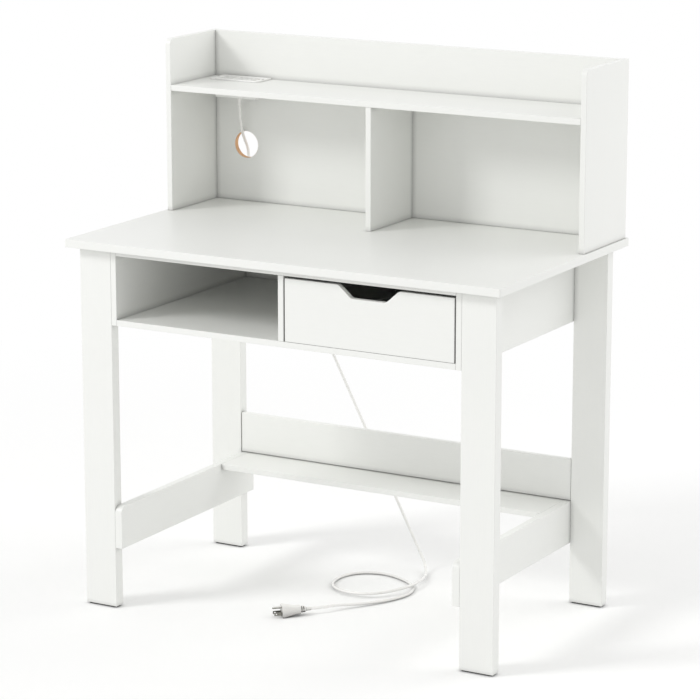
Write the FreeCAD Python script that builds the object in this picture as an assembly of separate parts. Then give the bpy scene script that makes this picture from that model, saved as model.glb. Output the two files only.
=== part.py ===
import FreeCAD, Part

import math
import os

from FreeCAD import Vector

# Student desk with a drawer, a footrest and a hutch with a built-in outlet.
# Millimetres. X runs across the desk, Y from front to back, Z up.
# The origin is on the floor, under the middle of the desktop.

# ---------------------------------------------------------------- desk
desk_width = 956.0
desk_depth = 560.0
desk_height = 750.0
top_thickness = 16.0
top_corner_radius = 2.5
arris = 1.0                    # eased edge of every painted board

leg_width = 72.0
leg_depth = 24.0
leg_side_inset = 19.0          # leg behind the side edge of the desktop
leg_front_inset = 25.0
leg_back_inset = 31.0
glide_height = 3.0
glide_inset = 3.5
glide_corner_radius = 3.0

# ---------------------------------------------------------------- case under the desktop
case_height = 152.0
case_board = 12.0
case_back_recess = 6.0         # back board in front of the legs' back faces
divider_x = 0.0

# ---------------------------------------------------------------- lower frame
rail_board = 16.0
rail_height = 87.0
rail_bottom = 126.0
rail_corner_radius = 15.0
footrest_board = 12.0
footrest_depth = 118.0
stretcher_board = 12.0
stretcher_height = 85.0
stretcher_recess = 1.6         # behind the back legs' front faces
stretcher_end_gap = 1.0
stretcher_floor_gap = 1.2      # above the footrest

# ---------------------------------------------------------------- hutch
hutch_side_inset = 5.0         # hutch within each side edge of the desktop
hutch_depth = 190.0
hutch_height = 354.0
hutch_board = 12.0
hutch_back_inset = 6.0         # hutch in front of the desktop's back edge
hutch_panel_recess = 5.0       # back board in front of the hutch's back edges
hutch_corner_radius = 12.0
shelf_board = 12.0
shelf_top_height = 260.0       # above the desktop
hutch_divider_x = 0.0
cable_hole_radius = 28.0
cable_hole_from_side = 86.0
cable_hole_height = 119.0      # above the desktop

# ---------------------------------------------------------------- drawer
drawer_side_gap = 3.0
drawer_top_gap = 4.5
drawer_floor_gap = 0.5
drawer_front_board = 12.0
drawer_side_board = 12.0
drawer_side_height = 85.0
drawer_side_lift = 10.0        # drawer sides above the case floor
drawer_length = 400.0
drawer_travel = 290.0
drawer_bottom_board = 4.0
drawer_bottom_lift = 8.0       # drawer bottom above the lower edge of the sides
groove_depth = 6.0
groove_clearance = 0.15
pull_depth = 24.5              # finger cut-out in the drawer front
pull_top_width = 130.0
pull_bottom_width = 74.0
pull_radius = 11.0

# ---------------------------------------------------------------- roller runners
runner_space = 12.5            # between the drawer side and the case wall
runner_sheet = 1.2
runner_length = 392.0
runner_setback = 4.0           # behind the front edge of the case
runner_floor_gap = 12.0        # case runner above the case floor
runner_track_width = 9.5
runner_wrap = 10.0             # flange under the drawer side
roller_radius = 10.0
roller_width = 6.5
roller_clearance = 0.15        # roller to the flange that it rolls on
roller_lip_gap = 1.0           # play under the upper lip of the case runner
roller_pin_radius = 2.0
roller_bore_clearance = 0.05
roller_pin_head = 3.2
roller_end_distance = 14.0     # roller axis from the end of its runner
lift_over_lip = 2.5            # drawer runner flange above the case runner's lip
stop_height = 3.0
stop_thickness = 2.4
roller_offset = 0.3            # roller towards the case wall from the middle of the space
roller_groove_depth = 0.8
roller_groove_width = 2.2

# ---------------------------------------------------------------- fixings
dowel_radius = 3.0
dowel_short = 8.0              # depth in the face of a thin board
dowel_long = 15.0              # depth in an end, an edge or a leg
screw_radius = 1.6
screw_head_radius = 3.2
screw_head_height = 1.6
screw_length = 9.0

# ---------------------------------------------------------------- outlet unit in the shelf
outlet_from_side = 93.0
outlet_from_back_board = 33.0
bezel_length = 116.0
bezel_width = 58.0
bezel_height = 3.0
bezel_radius = 6.0
bezel_arris = 0.75
bezel_end_rim = 8.0
bezel_side_rim = 4.0
bezel_sink = 1.2               # face below the rim
bezel_face_radius = 3.0
housing_length = 96.0
housing_width = 44.0
housing_depth = 36.5           # below the top of the shelf
housing_wall = 2.0
housing_fit = 1.0              # gap around the housing in the shelf
socket_length = 32.0
socket_width = 34.0
socket_depth = 18.0
socket_radius = 5.0
socket_pitch = 36.0
socket_fit = 0.2
socket_shift = -10.0           # middle of the two sockets from the middle of the unit
socket_floor = 2.0
slot_side_clearance = 0.75
slot_end_clearance = 0.6
earth_clearance = 0.4
usb_length = 13.2
usb_width = 5.8
usb_depth = 12.0
usb_wall = 0.5
usb_tongue_gap = 0.5
usb_shift = 35.0
usb_pitch = 16.0
bezel_screw_shift = 53.5

# ---------------------------------------------------------------- cord and plug
cord_radius = 3.0
cord_bend_share = 0.45         # of the shorter run, on each side of a bend
gland_shift_x = -8.0           # from the middle of the outlet unit
gland_shift_y = 8.0
gland_length = 20.0
gland_radius = 4.6
gland_tip_radius = 3.6
gland_flange_radius = 8.0
cord_drop = 27.5               # straight down out of the gland
plug_turn = 225.0              # direction of the prongs in plan, degrees
relief_length = 20.0
relief_tip_radius = 3.8
relief_root_radius = 7.4
relief_groove = 2.0
relief_groove_places = (10.0, 14.4)
plug_length = 41.0
plug_taper_length = 28.0
plug_width = 25.0
plug_height = 24.6
plug_neck_width = 17.0
plug_neck_height = 15.5
plug_round = 4.0
blade_length = 16.0
blade_height = 6.35
blade_thickness = 1.5
blade_pitch = 12.7
blade_drop = 4.2               # blades below the plug's axis
pin_length = 19.5
pin_radius = 2.4
pin_rise = 11.9                # earth pin above the blades

# The cord's route after its drop from the gland, to the plug: back through the
# cable hole, in one straight stretch behind the desk, then one loop on the
# floor that the first strand crosses in a low hump.
cord_route = [
    (-392, 242, 900), (-395, 262, 879), (-398, 281, 858), (-400, 287, 828), (6, 287, 46),
    (23, 283, 21), (38, 266, 8), (57, 230, 4.5), (71, 184, 9.8), (74, 134, 9.8),
    (52, 82, 4.5), (14, 47, 3.2), (-38, 46, 3.2), (-83, 79, 3.2), (-99, 130, 3.2),
    (-83, 182, 3.2), (-32, 208, 3.2), (27, 190, 3.2), (71, 156, 3.2), (87, 104, 3.2),
    (66, 42, 3.2), (29, -12, 3.2), (2, -49, 4), (-10, -78, 12.5), (-28, -96, 12.5),
]

# ---------------------------------------------------------------- places that follow
top_underside = desk_height - top_thickness
leg_outer_x = desk_width / 2 - leg_side_inset
leg_inner_x = leg_outer_x - leg_width
leg_front_y = -desk_depth / 2 + leg_front_inset
leg_back_y = desk_depth / 2 - leg_back_inset
back_leg_front_y = leg_back_y - leg_depth
front_leg_middle_y = leg_front_y + leg_depth / 2
back_leg_middle_y = leg_back_y - leg_depth / 2

case_bottom_z = top_underside - case_height
case_floor_z = case_bottom_z + case_board
case_ceiling_z = top_underside - case_board
case_inner_x = leg_inner_x - case_board
case_back_y = leg_back_y - case_back_recess
case_inner_back_y = case_back_y - case_board

rail_top = rail_bottom + rail_height
rail_inner_x = leg_inner_x - rail_board
stretcher_front_y = back_leg_front_y + stretcher_recess
stretcher_back_y = stretcher_front_y + stretcher_board
stretcher_bottom = rail_top + stretcher_floor_gap
stretcher_top = stretcher_bottom + stretcher_height
footrest_front_y = stretcher_back_y - footrest_depth

hutch_outer_x = desk_width / 2 - hutch_side_inset
hutch_inner_x = hutch_outer_x - hutch_board
hutch_back_y = desk_depth / 2 - hutch_back_inset
hutch_front_y = hutch_back_y - hutch_depth
hutch_top = desk_height + hutch_height
hutch_panel_back_y = hutch_back_y - hutch_panel_recess
hutch_panel_front_y = hutch_panel_back_y - hutch_board
shelf_top = desk_height + shelf_top_height
shelf_bottom = shelf_top - shelf_board
cable_hole_x = -hutch_outer_x + cable_hole_from_side
cable_hole_z = desk_height + cable_hole_height

bay_left_x = divider_x + case_board / 2
bay_right_x = case_inner_x
drawer_front_left_x = bay_left_x + drawer_side_gap
drawer_front_right_x = bay_right_x - drawer_side_gap
drawer_middle_x = (bay_left_x + bay_right_x) / 2
drawer_front_bottom = case_floor_z + drawer_floor_gap
drawer_front_top = case_ceiling_z - drawer_top_gap
drawer_front_back_y = leg_front_y + drawer_front_board
drawer_back_y = drawer_front_back_y + drawer_length
drawer_side_bottom = case_floor_z + drawer_side_lift
drawer_side_top = drawer_side_bottom + drawer_side_height
drawer_outer_left_x = bay_left_x + runner_space
drawer_outer_right_x = bay_right_x - runner_space
drawer_bottom_z = drawer_side_bottom + drawer_bottom_lift

outlet_x = -hutch_outer_x + outlet_from_side
outlet_y = hutch_panel_front_y - outlet_from_back_board
bezel_top = shelf_top + bezel_height
bezel_face = bezel_top - bezel_sink
housing_bottom = shelf_top - housing_depth
gland_tip = (outlet_x + gland_shift_x, outlet_y + gland_shift_y, housing_bottom - gland_length)
cord_points = [gland_tip, (gland_tip[0], gland_tip[1], gland_tip[2] - cord_drop)] + cord_route

x_axis = Vector(1, 0, 0)
y_axis = Vector(0, 1, 0)
z_axis = Vector(0, 0, 1)


# ---------------------------------------------------------------- shape helpers
def box(x0, x1, y0, y1, z0, z1):
    """A box between two corners, given as three ranges."""
    return Part.makeBox(x1 - x0, y1 - y0, z1 - z0, Vector(x0, y0, z0))


def place(plane, a, b, level):
    """A point of a plane ("xy", "xz" or "yz") at a level along its normal."""
    if plane == "xy":
        return Vector(a, b, level)
    if plane == "xz":
        return Vector(a, level, b)
    return Vector(level, a, b)


def outline(corners):
    """Where each rounded corner of an outline starts, ends and has its middle."""
    count = len(corners)
    entries, exits, middles = [], [], []
    for index, (a, b, radius) in enumerate(corners):
        here = Vector(a, b, 0)
        before = Vector(*corners[index - 1][:2], 0)
        after = Vector(*corners[(index + 1) % count][:2], 0)
        to_before = (before - here).normalize()
        to_after = (after - here).normalize()
        half = to_before.getAngle(to_after) / 2
        setback = radius / math.tan(half)
        entries.append(here + to_before * setback)
        exits.append(here + to_after * setback)
        inwards = (to_before + to_after).normalize()
        middles.append(here + inwards * (radius / math.sin(half) - radius))
    return entries, exits, middles


def flat_face(corners, plane, level):
    """A flat face with an outline of (a, b, radius) corners at one level."""
    entries, exits, middles = outline(corners)

    def lift(point):
        return place(plane, point.x, point.y, level)

    edges = []
    for index, corner in enumerate(corners):
        if corner[2] > 0:
            arc = Part.Arc(lift(entries[index]), lift(middles[index]), lift(exits[index]))
            edges.append(arc.toShape())
        following = (index + 1) % len(corners)
        if exits[index].distanceToPoint(entries[following]) > 1e-6:
            side = Part.LineSegment(lift(exits[index]), lift(entries[following]))
            edges.append(side.toShape())
    return Part.Face(Part.Wire(Part.__sortEdges__(edges)))


def plate(corners, plane, start, end):
    """A plate with an outline of (a, b, radius) corners between two levels."""
    return flat_face(corners, plane, start).extrude(place(plane, 0, 0, end - start))


def rectangle(a0, a1, b0, b1, radius=0.0):
    """Corners of a rectangle, all with one radius."""
    return [(a0, b0, radius), (a1, b0, radius), (a1, b1, radius), (a0, b1, radius)]


def ease(shape, radius=arris):
    """Round every edge of a board a little, at most a quarter of its thinnest side."""
    bounds = shape.BoundBox
    thinnest = min(bounds.XLength, bounds.YLength, bounds.ZLength)
    return shape.makeFillet(min(radius, thinnest / 4), shape.Edges)


def board(x0, x1, y0, y1, z0, z1):
    """A board with eased edges."""
    return ease(box(x0, x1, y0, y1, z0, z1))


def turn_to_plug(shape, start):
    """Turn a shape made along +X to the plug's direction, at its start point."""
    turned = shape.copy()
    turned.rotate(Vector(0, 0, 0), z_axis, plug_turn)
    turned.translate(start)
    return turned


pieces = {}


# ---------------------------------------------------------------- desk
def make_desk():
    half_width = desk_width / 2
    half_depth = desk_depth / 2
    corners = rectangle(-half_width, half_width, -half_depth, half_depth, top_corner_radius)
    pieces["desktop"] = ease(plate(corners, "xy", top_underside, desk_height))

    glides = []
    for side, x0 in (("left", -leg_outer_x), ("right", leg_inner_x)):
        for end, y0 in (("front", leg_front_y), ("back", back_leg_front_y)):
            x1, y1 = x0 + leg_width, y0 + leg_depth
            pieces[f"leg_{end}_{side}"] = board(x0, x1, y0, y1, glide_height, top_underside)
            pad = rectangle(x0 + glide_inset, x1 - glide_inset, y0 + glide_inset, y1 - glide_inset,
                            glide_corner_radius)
            glides.append(plate(pad, "xy", 0, glide_height))
    pieces["leg_glides"] = Part.makeCompound(glides)


def make_case():
    for side, x0 in (("left", -leg_inner_x), ("right", case_inner_x)):
        pieces[f"case_side_{side}"] = board(x0, x0 + case_board, leg_front_y, leg_back_y,
                                            case_bottom_z, top_underside)
    pieces["case_bottom"] = board(-case_inner_x, case_inner_x, leg_front_y, case_back_y,
                                  case_bottom_z, case_floor_z)
    pieces["case_top"] = board(-case_inner_x, case_inner_x, leg_front_y, case_back_y,
                               case_ceiling_z, top_underside)
    pieces["case_back"] = board(-case_inner_x, case_inner_x, case_inner_back_y, case_back_y,
                                case_floor_z, case_ceiling_z)
    pieces["case_divider"] = board(divider_x - case_board / 2, divider_x + case_board / 2,
                                   leg_front_y, case_inner_back_y, case_floor_z, case_ceiling_z)


def make_lower_frame():
    rail_corners = rectangle(leg_front_y, leg_back_y, rail_bottom, rail_top)
    rail_corners[3] = (leg_front_y, rail_top, rail_corner_radius)
    for side, x0 in (("left", -leg_inner_x), ("right", rail_inner_x)):
        pieces[f"rail_{side}"] = ease(plate(rail_corners, "yz", x0, x0 + rail_board))
    pieces["footrest"] = board(-rail_inner_x, rail_inner_x, footrest_front_y, stretcher_back_y,
                               rail_top - footrest_board, rail_top)
    stretcher_half = leg_inner_x - stretcher_end_gap
    pieces["stretcher"] = board(-stretcher_half, stretcher_half, stretcher_front_y,
                                stretcher_back_y, stretcher_bottom, stretcher_top)


# ---------------------------------------------------------------- hutch
def make_hutch():
    side_corners = rectangle(hutch_front_y, hutch_back_y, desk_height, hutch_top)
    side_corners[3] = (hutch_front_y, hutch_top, hutch_corner_radius)
    for side, x0 in (("left", -hutch_outer_x), ("right", hutch_inner_x)):
        pieces[f"hutch_side_{side}"] = ease(plate(side_corners, "yz", x0, x0 + hutch_board))

    back = board(-hutch_inner_x, hutch_inner_x, hutch_panel_front_y, hutch_panel_back_y,
                 desk_height, hutch_top)
    hole = Part.makeCylinder(cable_hole_radius, hutch_board,
                             Vector(cable_hole_x, hutch_panel_front_y, cable_hole_z), y_axis)
    pieces["hutch_back"] = back.cut(hole)

    shelf = board(-hutch_inner_x, hutch_inner_x, hutch_front_y, hutch_panel_front_y,
                  shelf_bottom, shelf_top)
    half_length = housing_length / 2 + housing_fit
    half_width = housing_width / 2 + housing_fit
    pocket = box(outlet_x - half_length, outlet_x + half_length, outlet_y - half_width,
                 outlet_y + half_width, shelf_bottom, shelf_top)
    pieces["hutch_shelf"] = shelf.cut(pocket)
    pieces["hutch_divider"] = board(hutch_divider_x - hutch_board / 2,
                                    hutch_divider_x + hutch_board / 2,
                                    hutch_front_y, hutch_panel_front_y, desk_height, shelf_bottom)


# ---------------------------------------------------------------- drawer
def make_drawer():
    middle = drawer_middle_x
    front_corners = [
        (drawer_front_left_x, drawer_front_bottom, 0),
        (drawer_front_right_x, drawer_front_bottom, 0),
        (drawer_front_right_x, drawer_front_top, 0),
        (middle + pull_top_width / 2, drawer_front_top, pull_radius),
        (middle + pull_bottom_width / 2, drawer_front_top - pull_depth, pull_radius),
        (middle - pull_bottom_width / 2, drawer_front_top - pull_depth, pull_radius),
        (middle - pull_top_width / 2, drawer_front_top, pull_radius),
        (drawer_front_left_x, drawer_front_top, 0),
    ]
    front = ease(plate(front_corners, "xz", leg_front_y, drawer_front_back_y))

    groove_bottom = drawer_bottom_z - groove_clearance
    groove_top = drawer_bottom_z + drawer_bottom_board + groove_clearance
    inner_left_x = drawer_outer_left_x + drawer_side_board
    inner_right_x = drawer_outer_right_x - drawer_side_board
    inner_back_y = drawer_back_y - drawer_side_board
    groove = box(inner_left_x - groove_depth, inner_right_x + groove_depth,
                 drawer_front_back_y - groove_depth, inner_back_y + groove_depth,
                 groove_bottom, groove_top)

    sides = {"left": drawer_outer_left_x, "right": inner_right_x}
    for side, x0 in sides.items():
        plain = board(x0, x0 + drawer_side_board, drawer_front_back_y, drawer_back_y,
                      drawer_side_bottom, drawer_side_top)
        pieces[f"drawer_side_{side}"] = plain.cut(groove)
    back = board(inner_left_x, inner_right_x, inner_back_y, drawer_back_y,
                 drawer_side_bottom, drawer_side_top)
    pieces["drawer_back"] = back.cut(groove)
    pieces["drawer_front"] = front.cut(groove)
    inset = groove_depth - groove_clearance
    pieces["drawer_bottom"] = box(inner_left_x - inset, inner_right_x + inset,
                                  drawer_front_back_y - inset, inner_back_y + inset,
                                  drawer_bottom_z, drawer_bottom_z + drawer_bottom_board)


# ---------------------------------------------------------------- runners and rollers
runner_front_y = leg_front_y + drawer_front_board + runner_setback
runner_back_y = runner_front_y + runner_length
case_track_z = case_floor_z + runner_floor_gap + runner_sheet
case_lip_z = case_track_z + roller_clearance + 2 * roller_radius + roller_lip_gap
drawer_flange_z = case_lip_z + runner_sheet + lift_over_lip
drawer_roller_y = runner_back_y - roller_end_distance
drawer_roller_z = case_track_z + roller_clearance + roller_radius
case_roller_y = runner_front_y + roller_end_distance
case_roller_z = drawer_flange_z - roller_clearance - roller_radius
roller_gap = (runner_space - roller_width) / 2 - roller_offset


def make_runner_pair(side, wall_x, outwards):
    """The case runner, the drawer runner and their two rollers on one side.

    wall_x is the case wall's face and outwards is +1 or -1, from that wall
    towards the drawer.
    """
    def across(distance):
        return wall_x + outwards * distance

    def slab(near, far, y0, y1, z0, z1):
        x0, x1 = sorted((across(near), across(far)))
        return box(x0, x1, y0, y1, z0, z1)

    def pin(near, far, radius, y, z):
        base = Vector(across(near), y, z)
        return Part.makeCylinder(radius, far - near, base, x_axis * outwards)

    def roller(y, z):
        near, far = roller_gap, roller_gap + roller_width
        groove_near = (near + far - roller_groove_width) / 2
        groove_far = groove_near + roller_groove_width
        wheel = pin(near, far, roller_radius, y, z)
        groove = pin(groove_near, groove_far, roller_radius, y, z)
        groove = groove.cut(pin(near, far, roller_radius - roller_groove_depth, y, z))
        bore = pin(near, far, roller_pin_radius + roller_bore_clearance, y, z)
        return wheel.cut(groove).cut(bore)

    sheet = runner_sheet
    lip_start_y = case_roller_y + roller_radius + sheet
    track_bottom = case_track_z - sheet
    web_top = drawer_flange_z - roller_clearance
    case_runner = slab(0, sheet, runner_front_y, runner_back_y, track_bottom, case_lip_z + sheet)
    case_runner = case_runner.fuse([
        slab(0, sheet, runner_front_y, lip_start_y, track_bottom, web_top),
        slab(0, runner_track_width, lip_start_y, runner_back_y, track_bottom, case_track_z),
        slab(0, runner_track_width, lip_start_y, runner_back_y, case_lip_z, case_lip_z + sheet),
        slab(0, runner_track_width, runner_back_y - sheet, runner_back_y,
             track_bottom, case_lip_z + sheet),
        pin(0, roller_gap + roller_width + sheet, roller_pin_radius, case_roller_y, case_roller_z),
        pin(roller_gap + roller_width + roller_clearance, roller_gap + roller_width + sheet,
            roller_pin_head, case_roller_y, case_roller_z),
    ])
    rise = roller_radius + roller_clearance - stop_height
    reach = math.sqrt(roller_radius ** 2 - rise ** 2)
    stop_y = drawer_roller_y - drawer_travel - reach - roller_clearance
    stop = slab(sheet, runner_track_width, stop_y - stop_thickness, stop_y,
                case_track_z, case_track_z + stop_height)
    case_runner = case_runner.fuse(stop).removeSplitter()

    face = runner_space
    drawer_runner_front_y = drawer_front_back_y + runner_setback
    flange_near = roller_gap - roller_clearance
    drawer_runner = slab(face - sheet, face, drawer_runner_front_y, runner_back_y,
                         drawer_side_bottom - sheet, drawer_flange_z + sheet)
    drawer_runner = drawer_runner.fuse([
        slab(face - sheet, face + runner_wrap, drawer_runner_front_y, runner_back_y,
             drawer_side_bottom - sheet, drawer_side_bottom),
        slab(flange_near, face, drawer_runner_front_y, runner_back_y,
             drawer_flange_z, drawer_flange_z + sheet),
        pin(roller_gap - sheet, face, roller_pin_radius, drawer_roller_y, drawer_roller_z),
        pin(roller_gap - sheet, roller_gap - roller_clearance, roller_pin_head,
            drawer_roller_y, drawer_roller_z),
    ]).removeSplitter()

    pieces[f"runner_case_{side}"] = case_runner
    pieces[f"runner_drawer_{side}"] = drawer_runner
    pieces[f"roller_case_{side}"] = roller(case_roller_y, case_roller_z)
    pieces[f"roller_drawer_{side}"] = roller(drawer_roller_y, drawer_roller_z)


# ---------------------------------------------------------------- fixings
def drill(names, tool):
    """Cut one tool out of each named piece."""
    for name in names:
        pieces[name] = pieces[name].cut(tool)


def dowel(names, point, axis, depth_before, depth_after):
    """A dowel across the joint of two pieces, which get its hole."""
    pin = Part.makeCylinder(dowel_radius, depth_before + depth_after,
                            point - axis * depth_before, axis)
    drill(names, pin)
    return pin


def mirrored(point):
    """The same point on the other side of the desk."""
    return Vector(-point.x, point.y, point.z)


def side_dowels(names, point, depth_in, depth_out):
    """Dowels along X at a point on the right and at its mirror image on the left.

    names gives the inner piece and the outer piece; {side} becomes left or right.
    """
    right = [name.format(side="right") for name in names]
    left = [name.format(side="left") for name in names]
    return [dowel(right, point, x_axis, depth_in, depth_out),
            dowel(left, mirrored(point), x_axis * -1, depth_in, depth_out)]


def spread(low, high, count):
    """Evenly spaced places between two ends, which are left free."""
    step = (high - low) / count
    return [low + step * (index + 0.5) for index in range(count)]


def fix_frame():
    """Dowels of the desk, its case and its lower frame."""
    pins = []
    leg_rows = (("front", front_leg_middle_y), ("back", back_leg_middle_y))
    for end, y in leg_rows:
        for z in spread(case_bottom_z, top_underside, 2):
            point = Vector(leg_inner_x, y, z)
            pins += side_dowels(["case_side_{side}", f"leg_{end}_{{side}}"], point,
                                dowel_short, dowel_long)
        for z in spread(rail_bottom, rail_top, 2):
            point = Vector(leg_inner_x, y, z)
            pins += side_dowels(["rail_{side}", f"leg_{end}_{{side}}"], point,
                                dowel_short, dowel_long)
        for x in (-leg_outer_x + leg_width / 2, leg_outer_x - leg_width / 2):
            side = "left" if x < 0 else "right"
            pins.append(dowel([f"leg_{end}_{side}", "desktop"], Vector(x, y, top_underside),
                              z_axis, dowel_long, dowel_short))
    stretcher_y = (stretcher_front_y + stretcher_back_y) / 2
    for z in spread(stretcher_bottom, stretcher_top, 2):
        point = Vector(leg_inner_x, stretcher_y, z)
        pins += side_dowels(["stretcher", "leg_back_{side}"], point,
                            stretcher_end_gap + dowel_long, dowel_long)
    for y in spread(footrest_front_y, stretcher_back_y, 2):
        point = Vector(rail_inner_x, y, rail_top - footrest_board / 2)
        pins += side_dowels(["footrest", "rail_{side}"], point, dowel_long, dowel_short)
    for y in spread(leg_front_y, case_inner_back_y, 3):
        for name, z in (("case_bottom", case_bottom_z + case_board / 2),
                        ("case_top", top_underside - case_board / 2)):
            pins += side_dowels([name, "case_side_{side}"], Vector(case_inner_x, y, z),
                                dowel_long, dowel_short)
    for z in spread(case_floor_z, case_ceiling_z, 2):
        point = Vector(case_inner_x, case_back_y - case_board / 2, z)
        pins += side_dowels(["case_back", "case_side_{side}"], point, dowel_long, dowel_short)
    for y in spread(leg_front_y, case_inner_back_y, 2):
        pins.append(dowel(["case_bottom", "case_divider"], Vector(divider_x, y, case_floor_z),
                          z_axis, dowel_short, dowel_long))
        pins.append(dowel(["case_divider", "case_top"], Vector(divider_x, y, case_ceiling_z),
                          z_axis, dowel_long, dowel_short))
        for x in (-case_inner_x / 2, case_inner_x / 2):
            pins.append(dowel(["case_top", "desktop"], Vector(x, y, top_underside),
                              z_axis, dowel_short, dowel_short))
    pieces["frame_dowels"] = Part.makeCompound(pins)


def fix_hutch():
    """Dowels of the hutch."""
    pins = []
    side_x = hutch_inner_x + hutch_board / 2
    for y in spread(hutch_front_y, hutch_back_y, 2):
        for side, x in (("left", -side_x), ("right", side_x)):
            pins.append(dowel(["desktop", f"hutch_side_{side}"], Vector(x, y, desk_height),
                              z_axis, dowel_short, dowel_long))
    for y in spread(hutch_front_y, hutch_panel_front_y, 2):
        point = Vector(hutch_inner_x, y, shelf_top - shelf_board / 2)
        pins += side_dowels(["hutch_shelf", "hutch_side_{side}"], point, dowel_long, dowel_short)
        pins.append(dowel(["desktop", "hutch_divider"], Vector(hutch_divider_x, y, desk_height),
                          z_axis, dowel_short, dowel_long))
        pins.append(dowel(["hutch_divider", "hutch_shelf"],
                          Vector(hutch_divider_x, y, shelf_bottom),
                          z_axis, dowel_long, dowel_short))
    for z in spread(desk_height, hutch_top, 3):
        point = Vector(hutch_inner_x, hutch_panel_back_y - hutch_board / 2, z)
        pins += side_dowels(["hutch_back", "hutch_side_{side}"], point, dowel_long, dowel_short)
    pieces["hutch_dowels"] = Part.makeCompound(pins)


def fix_drawer():
    """Dowels of the drawer: front to sides, and sides to back."""
    pins = []
    side_x = {"left": drawer_outer_left_x + drawer_side_board / 2,
              "right": drawer_outer_right_x - drawer_side_board / 2}
    inner_x = {"left": drawer_outer_left_x + drawer_side_board,
               "right": drawer_outer_right_x - drawer_side_board}
    first_z = drawer_bottom_z + drawer_bottom_board + groove_clearance
    for side, x in side_x.items():
        outwards = x_axis if side == "right" else x_axis * -1
        for z in spread(first_z, drawer_side_top, 2):
            pins.append(dowel(["drawer_front", f"drawer_side_{side}"],
                              Vector(x, drawer_front_back_y, z), y_axis, dowel_short, dowel_long))
            back = Vector(inner_x[side], drawer_back_y - drawer_side_board / 2, z)
            pins.append(dowel(["drawer_back", f"drawer_side_{side}"], back, outwards,
                              dowel_long, dowel_short))
    pieces["drawer_dowels"] = Part.makeCompound(pins)


def screw(names, point, axis, length=screw_length):
    """A countersunk screw whose flat head lies at a point; axis runs to its tip."""
    head = Part.makeCone(screw_head_radius, screw_radius, screw_head_height, point, axis)
    shank = Part.makeCylinder(screw_radius, length, point, axis)
    whole = head.fuse(shank).removeSplitter()
    drill(names, whole)
    return whole


def fix_runners():
    """Screws of the runners: sideways into the case, upwards into the drawer sides."""
    case_screws, drawer_screws = [], []
    web_z = (case_track_z + case_lip_z) / 2
    screw_row = spread(case_roller_y + 2 * roller_radius, runner_back_y, 3)
    for side, wall, wall_x, inwards in (("left", "case_divider", bay_left_x, x_axis * -1),
                                        ("right", "case_side_right", bay_right_x, x_axis)):
        for y in screw_row:
            head = Vector(wall_x, y, web_z) - inwards * runner_sheet
            case_screws.append(screw([f"runner_case_{side}", wall], head, inwards))
    wrap_shift = runner_space + runner_wrap / 2
    for side, x in (("left", bay_left_x + wrap_shift), ("right", bay_right_x - wrap_shift)):
        for y in screw_row:
            head = Vector(x, y, drawer_side_bottom - runner_sheet)
            drawer_screws.append(screw([f"runner_drawer_{side}", f"drawer_side_{side}"], head,
                                       z_axis, drawer_bottom_lift))
    pieces["runner_screws"] = Part.makeCompound(case_screws)
    pieces["drawer_screws"] = Part.makeCompound(drawer_screws)


# ---------------------------------------------------------------- outlet unit
def make_outlet():
    half_length = housing_length / 2
    half_width = housing_width / 2
    shell = box(outlet_x - half_length, outlet_x + half_length, outlet_y - half_width,
                outlet_y + half_width, housing_bottom, shelf_top)
    inner_length = half_length - housing_wall
    inner_width = half_width - housing_wall
    cavity = box(outlet_x - inner_length, outlet_x + inner_length, outlet_y - inner_width,
                 outlet_y + inner_width, housing_bottom + housing_wall, shelf_top)
    pieces["outlet_housing"] = shell.cut(cavity)

    half_bezel = bezel_length / 2
    half_bezel_width = bezel_width / 2
    corners = rectangle(outlet_x - half_bezel, outlet_x + half_bezel, outlet_y - half_bezel_width,
                        outlet_y + half_bezel_width, bezel_radius)
    bezel = ease(plate(corners, "xy", shelf_top, bezel_top), bezel_arris)
    sunk = rectangle(outlet_x - half_bezel + bezel_end_rim, outlet_x + half_bezel - bezel_end_rim,
                     outlet_y - half_bezel_width + bezel_side_rim,
                     outlet_y + half_bezel_width - bezel_side_rim, bezel_face_radius)
    bezel = bezel.cut(plate(sunk, "xy", bezel_face, bezel_top))

    sockets = []
    for direction in (-1, 1):
        x = outlet_x + socket_shift + direction * socket_pitch / 2
        sockets.append(make_socket(x))
        opening = socket_outline(x, socket_fit)
        bezel = bezel.cut(plate(opening, "xy", shelf_top, bezel_top))
    pieces["outlet_sockets"] = Part.makeCompound(sockets)

    ports, tongues = [], []
    for direction in (-1, 1):
        x0 = outlet_x + usb_shift - usb_length / 2
        y0 = outlet_y + direction * usb_pitch / 2 - usb_width / 2
        bottom = bezel_face - usb_depth
        block = box(x0, x0 + usb_length, y0, y0 + usb_width, bottom, bezel_face)
        bezel = bezel.cut(block)
        mouth = box(x0 + usb_wall, x0 + usb_length - usb_wall, y0 + usb_wall,
                    y0 + usb_width - usb_wall, bottom + usb_wall, bezel_face)
        ports.append(block.cut(mouth))
        margin = usb_wall + usb_tongue_gap
        tongues.append(box(x0 + margin, x0 + usb_length - margin, y0 + usb_width / 2,
                           y0 + usb_width - margin, bottom + usb_wall, bezel_face - margin))
    pieces["outlet_usb_ports"] = Part.makeCompound(ports)
    pieces["outlet_usb_tongues"] = Part.makeCompound(tongues)
    pieces["outlet_bezel"] = bezel

    screws = []
    for direction in (-1, 1):
        head = Vector(outlet_x + direction * bezel_screw_shift, outlet_y, bezel_top)
        screws.append(screw(["outlet_bezel", "hutch_shelf"], head, z_axis * -1))
    pieces["outlet_screws"] = Part.makeCompound(screws)


def socket_outline(x, margin):
    """Rounded outline of one socket, wider by a margin."""
    half_length = socket_length / 2 + margin
    half_width = socket_width / 2 + margin
    return rectangle(x - half_length, x + half_length, outlet_y - half_width,
                     outlet_y + half_width, socket_radius)


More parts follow.
